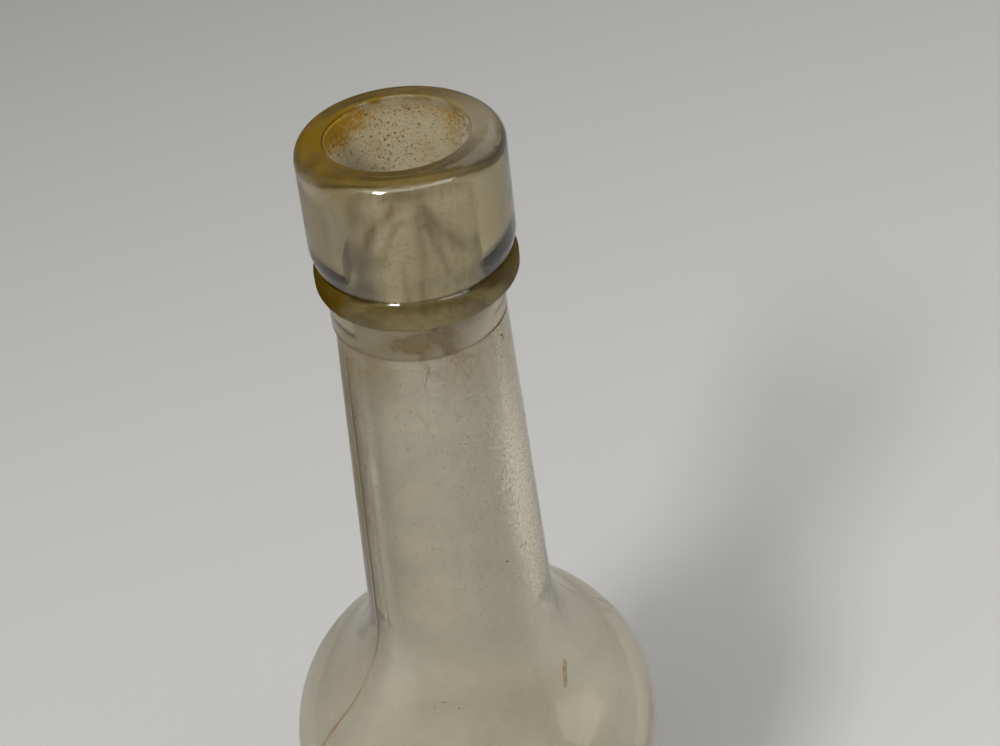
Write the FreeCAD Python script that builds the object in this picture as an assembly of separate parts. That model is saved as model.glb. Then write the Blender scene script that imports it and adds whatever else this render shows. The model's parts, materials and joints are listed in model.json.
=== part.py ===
import FreeCAD, Part
import math
import os
from collections import namedtuple

# Antique round bottle of blown glass with a lip band, a string ring and a collar laid on by hand.
# Millimetres, +Z up, origin at the centre of the foot. Heights stack up from the foot.

# Blown body
BODY_RADIUS = 31.6
BODY_HEIGHT = 128.1          # foot to the corner where the straight side would meet the shoulder
SHOULDER_ROUND = 19.0
SHOULDER_RISE = 13.3         # that corner up to the corner where the shoulder would meet the neck
NECK_FOOT_RADIUS = 15.6
NECK_FOOT_ROUND = 26.0
NECK_LENGTH = 66.6           # neck's foot up to the lower edge of the collar
WALL = 3.0

# Foot
HEEL_ROUND = 7.0
FOOT_RING_WIDTH = 5.0        # flat ring that the bottle stands on
FOOT_RING_EDGE_ROUND = 1.5
PUSH_UP_HEIGHT = 9.0
PUSH_UP_CROWN_RADIUS = 7.0
PUSH_UP_CROWN_ROUND = 7.0
FLOOR_THICKNESS = 5.0

# Cork bore and the stretch of neck that carries the laid-on glass
BORE_RADIUS = 9.6
BORE_LENGTH = 24.0           # straight stretch that grips the cork, down from the rim
BORE_MOUTH_ROUND = 0.45
BORE_END_ROUND = 40.0
SEAT_WALL = 2.2              # neck wall under the laid-on glass
SEAT_STEP = 0.3              # neck stands this much outside its seat below the collar

# Glass laid on the seat
COLLAR_HEIGHT = 5.5
COLLAR_THICKNESS = 0.55
COLLAR_EDGE_ROUND = 0.35
RING_HEIGHT = 4.8
RING_THICKNESS = 2.2
RING_TOP_ROUND = 2.1
RING_UNDER_ROUND = 1.9
LIP_HEIGHT = 17.7
LIP_THICKNESS_LOW = 2.35
LIP_THICKNESS_HIGH = 2.05
LIP_UNDER_ROUND = 2.2
RIM_EDGE_ROUND = 2.4
CROWN_THICKNESS = 2.4        # glass of the lip band over the neck's cut end

# Radii and heights that follow
SEAT_RADIUS = BORE_RADIUS + SEAT_WALL
PUSH_UP_RADIUS = BODY_RADIUS - HEEL_ROUND - FOOT_RING_WIDTH
NECK_FOOT_Z = BODY_HEIGHT + SHOULDER_RISE
COLLAR_Z = NECK_FOOT_Z + NECK_LENGTH
RING_Z = COLLAR_Z + COLLAR_HEIGHT
LIP_Z = RING_Z + RING_HEIGHT
RIM_Z = LIP_Z + LIP_HEIGHT
CUT_END_Z = RIM_Z - CROWN_THICKNESS
BORE_END_Z = RIM_Z - BORE_LENGTH

SHORTEST_LINE = 1e-6
SIDE_SHARE = 0.98            # most of a side that the rounds at its two ends may use up

Corner = namedtuple("Corner", "point round")


def corner(radius, height, edge_round=0.0):
    """A corner of a section, in the plane of the axis, with the round that it gets."""
    return Corner(FreeCAD.Vector(radius, 0, height), edge_round)


def direction(start, end):
    """Unit vector from one corner to another."""
    return (end.point - start.point).normalize()


def inset(before, at, after, wall_before, wall_after, edge_round):
    """The corner where two sides meet again once each is moved to its left by its own wall."""
    along = direction(before, at)
    onward = direction(at, after)
    left = FreeCAD.Vector(-along.z, 0, along.x)
    next_left = FreeCAD.Vector(-onward.z, 0, onward.x)
    start = at.point + left * wall_before
    gap = at.point + next_left * wall_after - start
    slide = (gap.x * onward.z - gap.z * onward.x) / (along.x * onward.z - along.z * onward.x)
    return Corner(start + along * slide, edge_round)


def half_turn(before, at, after):
    """Half the angle that a section turns through at a corner."""
    return (math.pi - direction(at, before).getAngle(direction(at, after))) / 2


def fitted_trims(corners):
    """How far each corner's round reaches along its sides, shortened where a side has no room for both."""
    count = len(corners)
    trims = []
    for i, at in enumerate(corners):
        turn = half_turn(corners[i - 1], at, corners[(i + 1) % count])
        trims.append(at.round * math.tan(turn))
    shares = [1.0] * count
    for i in range(count):
        j = (i + 1) % count
        side = corners[i].point.distanceToPoint(corners[j].point)
        used = trims[i] + trims[j]
        if used > SIDE_SHARE * side:
            share = SIDE_SHARE * side / used
            shares[i] = min(shares[i], share)
            shares[j] = min(shares[j], share)
    return [trim * share for trim, share in zip(trims, shares)]


def section_edges(corners):
    """Lines and tangent arcs of a closed section."""
    count = len(corners)
    trims = fitted_trims(corners)
    starts, middles, ends = [], [], []
    for i, at in enumerate(corners):
        back = direction(at, corners[i - 1])
        ahead = direction(at, corners[(i + 1) % count])
        turn = half_turn(corners[i - 1], at, corners[(i + 1) % count])
        starts.append(at.point + back * trims[i])
        ends.append(at.point + ahead * trims[i])
        reach = trims[i] * (1 - math.cos(turn)) / math.sin(turn)
        middles.append(at.point + (back + ahead).normalize() * reach)
    edges = []
    for i in range(count):
        if trims[i] > SHORTEST_LINE:
            edges.append(Part.Arc(starts[i], middles[i], ends[i]).toShape())
        following = starts[(i + 1) % count]
        if ends[i].distanceToPoint(following) > SHORTEST_LINE:
            edges.append(Part.LineSegment(ends[i], following).toShape())
    return edges


def turned(corners):
    """Solid made by turning a closed section once round the bottle's axis."""
    face = Part.Face(Part.Wire(section_edges(corners)))
    return face.revolve(FreeCAD.Vector(0, 0, 0), FreeCAD.Vector(0, 0, 1), 360)


def blown_body():
    """Foot, side, shoulder and neck in one wall, open at the neck's cut end."""
    apex = corner(0, PUSH_UP_HEIGHT)
    crown = corner(PUSH_UP_CROWN_RADIUS, PUSH_UP_HEIGHT, PUSH_UP_CROWN_ROUND)
    foot = corner(PUSH_UP_RADIUS, 0, FOOT_RING_EDGE_ROUND)
    heel = corner(BODY_RADIUS, 0, HEEL_ROUND)
    shoulder = corner(BODY_RADIUS, BODY_HEIGHT, SHOULDER_ROUND)
    neck_foot = corner(NECK_FOOT_RADIUS, NECK_FOOT_Z, NECK_FOOT_ROUND)
    neck_top = corner(SEAT_RADIUS + SEAT_STEP, COLLAR_Z)
    outside = [apex, crown, foot, heel, shoulder, neck_foot, neck_top]
    seat = [corner(SEAT_RADIUS, COLLAR_Z), corner(SEAT_RADIUS, CUT_END_Z)]
    bore = [corner(BORE_RADIUS, CUT_END_Z), corner(BORE_RADIUS, BORE_END_Z, BORE_END_ROUND)]
    cavity = [
        inset(shoulder, neck_foot, neck_top, WALL, WALL, NECK_FOOT_ROUND + WALL),
        inset(heel, shoulder, neck_foot, WALL, WALL, SHOULDER_ROUND - WALL),
        inset(foot, heel, shoulder, FLOOR_THICKNESS, WALL, HEEL_ROUND),
        inset(crown, foot, heel, FLOOR_THICKNESS, FLOOR_THICKNESS, HEEL_ROUND),
        inset(apex, crown, foot, FLOOR_THICKNESS, FLOOR_THICKNESS, PUSH_UP_CROWN_ROUND + FLOOR_THICKNESS),
        corner(0, PUSH_UP_HEIGHT + FLOOR_THICKNESS),
    ]
    return turned(outside + seat + bore + cavity)


def neck_collar():
    """Thin sleeve on the seat, its lower edge standing proud of the neck."""
    outer = SEAT_RADIUS + COLLAR_THICKNESS
    return turned([
        corner(SEAT_RADIUS, COLLAR_Z),
        corner(outer, COLLAR_Z, COLLAR_EDGE_ROUND),
        corner(outer, RING_Z),
        corner(SEAT_RADIUS, RING_Z),
    ])


def string_ring():
    """Bead between the collar and the lip band."""
    outer = SEAT_RADIUS + RING_THICKNESS
    return turned([
        corner(SEAT_RADIUS, RING_Z),
        corner(outer, RING_Z, RING_UNDER_ROUND),
        corner(outer, LIP_Z, RING_TOP_ROUND),
        corner(SEAT_RADIUS, LIP_Z),
    ])


def lip_band():
    """Tall band on the seat, with a crown over the neck's cut end that forms the rim and the bore's mouth."""
    return turned([
        corner(SEAT_RADIUS, LIP_Z),
        corner(SEAT_RADIUS + LIP_THICKNESS_LOW, LIP_Z, LIP_UNDER_ROUND),
        corner(SEAT_RADIUS + LIP_THICKNESS_HIGH, RIM_Z, RIM_EDGE_ROUND),
        corner(BORE_RADIUS, RIM_Z, BORE_MOUTH_ROUND),
        corner(BORE_RADIUS, CUT_END_Z),
        corner(SEAT_RADIUS, CUT_END_Z),
    ])


def main():
    """Build each piece and write it to its own file."""
    os.makedirs("parts", exist_ok=True)
    for build in (blown_body, neck_collar, string_ring, lip_band):
        shape = build()
        shape.exportStep("parts/" + build.__name__ + ".step")
        print(build.__name__, "volume", round(shape.Volume, 1), "valid", shape.isValid())


main()
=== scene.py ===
import json
import logging
import math
from dataclasses import dataclass
from enum import IntEnum
from functools import partial

import bpy
import numpy as np
from mathutils import Matrix, Vector


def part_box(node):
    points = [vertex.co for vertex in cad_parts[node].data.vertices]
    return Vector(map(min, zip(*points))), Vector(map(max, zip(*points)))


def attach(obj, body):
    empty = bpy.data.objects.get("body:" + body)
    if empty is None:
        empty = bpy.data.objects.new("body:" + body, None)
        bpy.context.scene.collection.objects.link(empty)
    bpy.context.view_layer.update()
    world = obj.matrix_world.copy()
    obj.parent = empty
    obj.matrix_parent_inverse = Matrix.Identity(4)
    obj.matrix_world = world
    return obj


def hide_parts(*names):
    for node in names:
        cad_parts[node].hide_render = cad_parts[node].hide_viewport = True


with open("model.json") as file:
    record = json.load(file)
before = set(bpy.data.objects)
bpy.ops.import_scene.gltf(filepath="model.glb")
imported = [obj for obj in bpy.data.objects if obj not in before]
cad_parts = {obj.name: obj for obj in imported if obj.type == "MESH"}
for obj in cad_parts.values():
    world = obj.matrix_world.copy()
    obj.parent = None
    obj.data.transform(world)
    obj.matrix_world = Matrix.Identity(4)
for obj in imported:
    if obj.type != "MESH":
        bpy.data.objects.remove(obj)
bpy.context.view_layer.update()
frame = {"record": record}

log = logging.getLogger("bottle")

MM = 0.001
IMAGE_WIDTH = 1000
FULL_TURN = 2.0 * math.pi
FRONT = math.radians(-90.0)          # the bottle's front, towards the camera
SEAM_LEFT = math.radians(-157.0)     # where the two halves of the mould met
SEAM_RIGHT = math.radians(23.0)
ON_AXIS = 1e-9                       # a row this close to the axis is one point
CLEAR_OF_FOOT = 20.0 * MM            # above this each skin has one radius at each height
LIGHT_BOUNCES = 24                   # glass in glass needs many
CLEAR_BOUNCES = 32


def linear(hex_colour: str) -> tuple[float, float, float, float]:
    """Turn an sRGB hex colour into the linear colour that a shader takes.

    Args:
        hex_colour: six hex digits after a hash sign.

    Returns:
        Red, green, blue and an alpha of 1.
    """
    srgb = [int(hex_colour[i:i + 2], 16) / 255 for i in (1, 3, 5)]
    light = [c / 12.92 if c <= 0.04045 else ((c + 0.055) / 1.055) ** 2.4 for c in srgb]
    return (*light, 1.0)


def empty_tree(owner: bpy.types.Material | bpy.types.World) -> bpy.types.NodeTree:
    """Give a material or a world a node tree with nothing in it.

    Args:
        owner: the material or world.

    Returns:
        Its empty node tree.
    """
    owner.use_nodes = True
    owner.node_tree.nodes.clear()
    return owner.node_tree


def add_node(tree: bpy.types.NodeTree, kind: str, settings: dict | None = None,
             output: int | str = 0) -> bpy.types.NodeSocket | None:
    """Add one node with its settings and links.

    Args:
        tree: the node tree that gets it.
        kind: the node's type name, after ShaderNode.
        settings: properties by name, and input sockets by name or number. A socket gets a value, or a link
            where it is given another node's output.
        output: the output that is wanted, by name or number.

    Returns:
        The wanted output, or None where the node has no outputs.
    """
    node = tree.nodes.new("ShaderNode" + kind)
    for key, value in (settings or {}).items():
        if isinstance(value, bpy.types.NodeSocket):
            tree.links.new(value, node.inputs[key])
        elif isinstance(key, str) and hasattr(node, key):
            setattr(node, key, value)
        else:
            node.inputs[key].default_value = value
    return node.outputs[output] if node.outputs else None


def smooth(low: float, high: float, value: np.ndarray) -> np.ndarray:
    """Smooth step: 0 below low, 1 above high, and a cubic between them."""
    t = np.clip((value - low) / (high - low), 0.0, 1.0)
    return t * t * (3.0 - 2.0 * t)


def turn_between(angle: np.ndarray, other: float, full: float = FULL_TURN) -> np.ndarray:
    """Signed angle from other to angle, the short way round, in the units of a full turn."""
    return (angle - other + full / 2.0) % full - full / 2.0


def even_angles(count: int) -> np.ndarray:
    """Angles at even steps once round."""
    return np.arange(count) * FULL_TURN / count


def slow_waves(angle: np.ndarray, height: np.ndarray, swell: float, seed: int) -> np.ndarray:
    """Unevenness of glass worked by hand.

    The sum of six waves, sin(m * angle + height / length + phase) / sqrt(m), with m from 2 to 5 lobes
    round the bottle, lengths of 15 to 60 mm up it, and seeded phases.

    Args:
        angle: angle round the axis.
        height: height above the foot, in metres.
        swell: about the largest rise, in metres.
        seed: picks the phases and lengths.

    Returns:
        The rise at each point, in metres.
    """
    rng = np.random.default_rng(seed)
    usual_peak = 2.5
    total = np.zeros(np.broadcast_shapes(angle.shape, height.shape))
    for _ in range(6):
        lobes = int(rng.integers(2, 6))
        length = rng.uniform(15.0, 60.0) * MM * rng.choice([-1.0, 1.0])
        phase = rng.uniform(0.0, FULL_TURN)
        total += np.sin(lobes * angle + height / length + phase) / math.sqrt(lobes)
    return swell * total / usual_peak


class Skin(IntEnum):
    """Which side of the glass a stretch of a section is."""

    OUTSIDE = 0
    INSIDE = 1
    FUSED = 2


@dataclass(frozen=True)
class Corner:
    """A corner of a section, with its round and the skin of the side that starts there."""

    radius: float
    height: float
    edge_round: float = 0.0
    skin: Skin = Skin.OUTSIDE


@dataclass(frozen=True)
class Patch:
    """A soft spot: its centre and reach in degrees from the front and in millimetres up, and its strength."""

    angle: float
    height: float
    half_angle: float
    half_height: float
    amount: float = 1.0

    def cover(self, angle: np.ndarray, height: np.ndarray) -> np.ndarray:
        """How much of the spot lies at each point: a bell, exp(-(a^2 + h^2)), of the two distances.

        Args:
            angle: angle round the axis, from the front, in degrees.
            height: height from the same level as the spot's own, in millimetres.

        Returns:
            The cover, up to the spot's amount.
        """
        across = turn_between(angle, self.angle, 360.0) / self.half_angle
        along = (height - self.height) / self.half_height
        return self.amount * np.exp(-(across ** 2 + along ** 2))


@dataclass(frozen=True)
class Streak:
    """A soft line on a wall: points of angle and height, its half-width in millimetres and its strength."""

    path: tuple[tuple[float, float], ...]
    half_width: float
    amount: float = 1.0

    def cover(self, angle: np.ndarray, height: np.ndarray, radius: float) -> np.ndarray:
        """How much of the line lies at each point: a bell, exp(-d^2), of the distance to its nearest stretch.

        Args:
            angle: angle round the axis, from the front, in degrees.
            height: height above the foot, in millimetres.
            radius: the wall's distance from the axis, in millimetres.

        Returns:
            The cover, up to the line's amount.
        """
        degree = math.radians(radius)
        nearest = np.inf
        for start, end in zip(self.path, self.path[1:]):
            across = turn_between(angle, start[0], 360.0) * degree
            up = height - start[1]
            run = (end[0] - start[0]) * degree, end[1] - start[1]
            part = np.clip((across * run[0] + up * run[1]) / (run[0] ** 2 + run[1] ** 2), 0.0, 1.0)
            nearest = np.minimum(nearest, (across - part * run[0]) ** 2 + (up - part * run[1]) ** 2)
        return self.amount * np.exp(-nearest / self.half_width ** 2)


@dataclass
class Section:
    """A section as points in the plane of the axis, each with the skin that starts there."""

    radius: np.ndarray
    height: np.ndarray
    skin: np.ndarray
    closed: bool

    @classmethod
    def rounded(cls, corners: list[Corner], pitch: float, closed: bool = True) -> "Section":
        """Round a section's corners and divide its sides.

        Each corner with a round becomes the arc that is tangent to both sides, made smaller where a side has
        no room for both its rounds. Each straight stretch is divided into steps of about the pitch, with one
        more step close to each end so that a sharp corner's shading stays in the corner.

        Args:
            corners: the corners in order, with the glass on the left.
            pitch: longest step along a side.
            closed: whether the last corner joins the first.

        Returns:
            The finished section.
        """
        side_share, close_step = 0.97, 0.12 * MM
        at = np.array([[c.radius, c.height] for c in corners])
        ahead = np.roll(at, -1, axis=0) - at
        side = np.linalg.norm(ahead, axis=1)
        ahead = ahead / side[:, None]
        back = -np.roll(ahead, 1, axis=0)
        half = np.arccos(np.clip((back * ahead).sum(axis=1), -1.0, 1.0)) / 2.0
        reach = np.array([c.edge_round for c in corners]) / np.tan(half)
        if not closed:
            reach[[0, -1]] = 0.0
        room = np.minimum(1.0, side_share * side / np.maximum(reach + np.roll(reach, -1), 1e-9))
        reach = reach * np.minimum(room, np.roll(room, 1))
        rows: list[np.ndarray] = []
        skins: list[np.ndarray] = []
        count = len(corners)
        for i in range(count if closed else count - 1):
            j = (i + 1) % count
            if reach[i] > 0.0:
                arc = cls.arc(at[i], back[i], ahead[i], half[i], reach[i], pitch)
                rows.append(arc)
                skins.append(np.full(len(arc), corners[i - 1].skin))
            start, end = at[i] + ahead[i] * reach[i], at[j] + back[j] * reach[j]
            length = np.linalg.norm(end - start)
            close = min(close_step / length, 0.25)
            steps = np.linspace(0.0, 1.0, math.ceil(length / pitch) + 1)[:-1]
            steps = np.sort(np.append(steps, [close, 1.0 - close]))
            rows.append(start + (end - start) * steps[:, None])
            skins.append(np.full(len(steps), corners[i].skin))
        if not closed:
            rows.append(at[-1:])
            skins.append(np.array([corners[-2].skin]))
        points = np.concatenate(rows)
        return cls(points[:, 0], points[:, 1], np.concatenate(skins).astype(int), closed)

    @staticmethod
    def arc(at: np.ndarray, back: np.ndarray, ahead: np.ndarray, half: float, reach: float,
            pitch: float) -> np.ndarray:
        """Points of the arc that rounds one corner, without its last point.

        Args:
            at: the corner.
            back: direction to the corner before.
            ahead: direction to the corner after.
            half: half the angle between the two directions.
            reach: how far the arc reaches along each side.
            pitch: longest step along the arc.

        Returns:
            The points, from the side before to the side after.
        """
        widest_step = math.radians(6.0)
        edge_round = reach * math.tan(half)
        middle = at + (back + ahead) / np.linalg.norm(back + ahead) * edge_round / math.sin(half)
        start, end = at + back * reach - middle, at + ahead * reach - middle
        sweep = math.pi - 2.0 * half
        steps = max(3, math.ceil(sweep / widest_step), math.ceil(sweep * edge_round / pitch))
        part = np.linspace(0.0, 1.0, steps + 1)[:-1, None]
        return middle + (np.sin((1.0 - part) * sweep) * start + np.sin(part * sweep) * end) / math.sin(sweep)

    def radius_at(self, height: np.ndarray, skin: Skin) -> np.ndarray:
        """Distance of one skin from the axis at each height, read off the rows clear of the foot.

        Args:
            height: heights above the foot.
            skin: which skin.

        Returns:
            The distances.
        """
        rows = (self.skin == skin) & (self.height > CLEAR_OF_FOOT)
        order = np.argsort(self.height[rows], kind="stable")
        return np.interp(height, self.height[rows][order], self.radius[rows][order])


def turned_faces(pole: np.ndarray, columns: int, closed: bool) -> tuple[list[np.ndarray], np.ndarray]:
    """Faces of a grid that goes once round, where a row on a pole is one point.

    A face joins two rows and two neighbouring columns. Beside a pole the faces are a fan of triangles.

    Args:
        pole: for each row, whether it is one point.
        columns: points in every other row.
        closed: whether the last row joins the first.

    Returns:
        The quads, the fans that start at a pole and the fans that end at one, and each face's first row.
    """
    sizes = np.where(pole, 1, columns)
    first = np.cumsum(sizes) - sizes
    number = first[:, None] + np.where(pole[:, None], 0, np.arange(columns))
    here = np.arange(len(pole) if closed else len(pole) - 1)
    after = (here + 1) % len(pole)
    a, b = number[here], number[after]
    quads = np.stack([a, np.roll(a, -1, 1), np.roll(b, -1, 1), b], axis=2)
    starts, ends = pole[here], pole[after]
    plain = ~(starts | ends)
    faces = [quads[plain].reshape(-1, 4), quads[starts][:, :, [0, 2, 3]].reshape(-1, 3),
             quads[ends][:, :, [0, 1, 2]].reshape(-1, 3)]
    return faces, np.repeat(np.concatenate([here[plain], here[starts], here[ends]]), columns)


def new_piece(name: str, points: np.ndarray, faces: list[np.ndarray]) -> bpy.types.Object:
    """Put points and faces into a new smooth mesh at the origin.

    Args:
        name: the piece's name.
        points: one row of x, y and z for each point.
        faces: arrays with one row of point numbers for each face, counter-clockwise from outside.

    Returns:
        The new object, in the scene.
    """
    mesh = bpy.data.meshes.new(name)
    mesh.from_pydata(points.tolist(), [], [face for block in faces for face in block.tolist()])
    mesh.polygons.foreach_set("use_smooth", np.ones(len(mesh.polygons), bool))
    mesh.update()
    piece = bpy.data.objects.new(name, mesh)
    bpy.context.scene.collection.objects.link(piece)
    return piece


def write_values(piece: bpy.types.Object, name: str, domain: str, values: np.ndarray) -> None:
    """Store one number for each point or face of a piece.

    Args:
        piece: the object.
        name: the attribute's name.
        domain: POINT or FACE.
        values: the numbers, in the mesh's order.
    """
    layer = piece.data.attributes.new(name, "FLOAT", domain)
    layer.data.foreach_set("value", np.ascontiguousarray(values, np.float32).ravel())


@dataclass(frozen=True)
class Finish:
    """A finish: a named material whose nodes each kind of finish lays out."""

    name: str

    def lay_out(self, tree: bpy.types.NodeTree) -> None:
        """Put the finish's nodes into an empty tree; each kind has its own."""
        raise NotImplementedError

    def material(self) -> bpy.types.Material:
        """A new material with the finish's nodes.

        Returns:
            The material.
        """
        material = bpy.data.materials.new(self.name)
        self.lay_out(empty_tree(material))
        return material

    def dress(self, piece: bpy.types.Object, slot: str, node: str = "") -> None:
        """Give a piece this finish, and let it ride on the bottle.

        Args:
            piece: the object.
            slot: the record's material slot; not used.
            node: the CAD node that the piece takes the place of, if any.
        """
        piece.data.materials.append(self.material())
        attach(piece, "root")
        if node:
            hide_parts(node)

    @staticmethod
    def read_values(tree: bpy.types.NodeTree, *names: str) -> list[bpy.types.NodeSocket]:
        """Outputs that give a piece's own numbers, in the order of their names."""
        return [add_node(tree, "Attribute", {"attribute_name": name}, "Fac") for name in names]


@dataclass(frozen=True)
class GlassFinish(Finish):
    """Soda-lime glass with iron in it: clear, glossy, straw to amber where it is thick, stained, and in
    places painted with shade and highlights.
    """

    depth_tint: str
    absorption: float
    amber_and_shade: str = "#644e08"
    dirt_and_shade: str = "#5b4020"
    haze_and_painted_light: str = "#c9c2b0"
    gloss: float = 0.02
    film_roughness: float = 0.5
    film_sheen: float = 0.12
    ior: float = 1.52

    def lay_out(self, tree: bpy.types.NodeTree) -> None:
        """Glass whose depth gives it its colour, under haze, amber stain and dirt, which in places are
        painted shade and painted highlights.

        Args:
            tree: the material's empty node tree.
        """
        add = partial(add_node, tree)
        place = add("TexCoord", None, "Object")
        exposed, amber_and_shade, dirt_and_shade, haze_and_painted_light, scuff_and_highlight, mottle = self.read_values(
            tree, "exposed", "amber_and_shade", "dirt_and_shade", "haze_and_painted_light", "scuff_and_highlight", "mottle")

        # Films on the glass gather in clouds about 3 mm across, in grains drawn at 0.35 mm so that they show
        clouds = add("TexNoise", {"Scale": 1 / (3.0 * MM), "Detail": 6.0, "Roughness": 0.6,
                                  "Vector": place}, "Fac")
        grain = add("TexNoise", {"Scale": 1 / (0.35 * MM), "Detail": 4.0, "Roughness": 0.7,
                                 "Vector": place}, "Fac")
        blotchy = add("MapRange", {"From Min": 0.35, "From Max": 0.65, "To Min": 0.65,
                                   "To Max": 1.25, "Value": clouds})
        dusty = add("MapRange", {"From Min": 0.34, "From Max": 0.66, "To Min": 0.3,
                                 "To Max": 1.7, "Value": grain})
        worn = add("MapRange", {"From Min": 0.3, "From Max": 0.66, "Value": grain})
        uneven = add("Mix", {"data_type": "FLOAT", 0: mottle, 2: 1.0, 3: dusty})
        dust = add("Math", {"operation": "MULTIPLY", 0: haze_and_painted_light, 1: uneven})
        pale = add("Math", {"operation": "MULTIPLY_ADD", 0: worn, 1: scuff_and_highlight, 2: dust})
        stained = add("Math", {"operation": "MULTIPLY_ADD", 0: amber_and_shade, 1: blotchy, 2: dirt_and_shade})
        coated = add("Math", {"operation": "ADD", 0: stained, 1: pale})

        # Each film is a stipple too fine for the eye, and dirt lies over amber and amber over haze; in places
        # these films are painted shade (the neck's left edge, the ring's sides, the crease under the collar)
        # and painted highlights (the right of the neck and of the rim)
        stipple = add("TexWhiteNoise", {"Vector": place}, "Value")
        film, amber_film, dirt_film = (
            add("Math", {"operation": "LESS_THAN", 0: stipple, 1: cover})
            for cover in (coated, stained, dirt_and_shade))
        colour: tuple | bpy.types.NodeSocket = (1.0, 1.0, 1.0, 1.0)
        for cover, tint in ((film, self.haze_and_painted_light), (amber_film, self.amber_and_shade), (dirt_film, self.dirt_and_shade)):
            colour = add("Mix", {"data_type": "RGBA", 0: cover, 6: colour, 7: linear(tint)}, 2)
        clear = add("Math", {"operation": "SUBTRACT", 0: 1.0, 1: film})
        rough = add("MapRange", {"To Min": self.gloss, "To Max": self.film_roughness, "Value": film})
        sheen = add("MapRange", {"To Min": 0.5, "To Max": self.film_sheen, "Value": film})

        # Ripples about 9 mm long from the mould, and fine scuffs
        ripples = add("TexNoise", {"Scale": 1 / (9.0 * MM), "Detail": 2.0, "Vector": place}, "Fac")
        scuffed = add("Math", {"operation": "MULTIPLY", 0: grain, 1: scuff_and_highlight})
        waves = add("Bump", {"Strength": 0.25, "Distance": 0.3 * MM, "Height": ripples})
        bump = add("Bump", {"Strength": 0.3, "Distance": 0.04 * MM, "Height": scuffed, "Normal": waves})
        glass = add("BsdfPrincipled", {
            "IOR": self.ior, "Base Color": colour, "Roughness": rough, "Transmission Weight": clear,
            "Alpha": exposed, "Specular IOR Level": sheen, "Normal": bump})
        depth = add("VolumeAbsorption", {"Color": linear(self.depth_tint), "Density": self.absorption})
        add("OutputMaterial", {"Surface": glass, "Volume": depth})


# Colour per metre of glass: a bottle wall is almost clear, the laid-on glass straw, the string ring amber
STRAW_GLASS = GlassFinish("straw_soda_glass_mould_blown", "#d4cca3", 185.0)
LIP_GLASS = GlassFinish("straw_soda_glass_lip_tooled", "#c5b25a", 175.0)
COLLAR_GLASS = GlassFinish("straw_soda_glass_sleeve", "#d6cb7c", 300.0)
RING_GLASS = GlassFinish("amber_soda_glass_trailed", "#cfbf25", 480.0, amber_and_shade="#483706", film_sheen=0.0)


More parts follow.
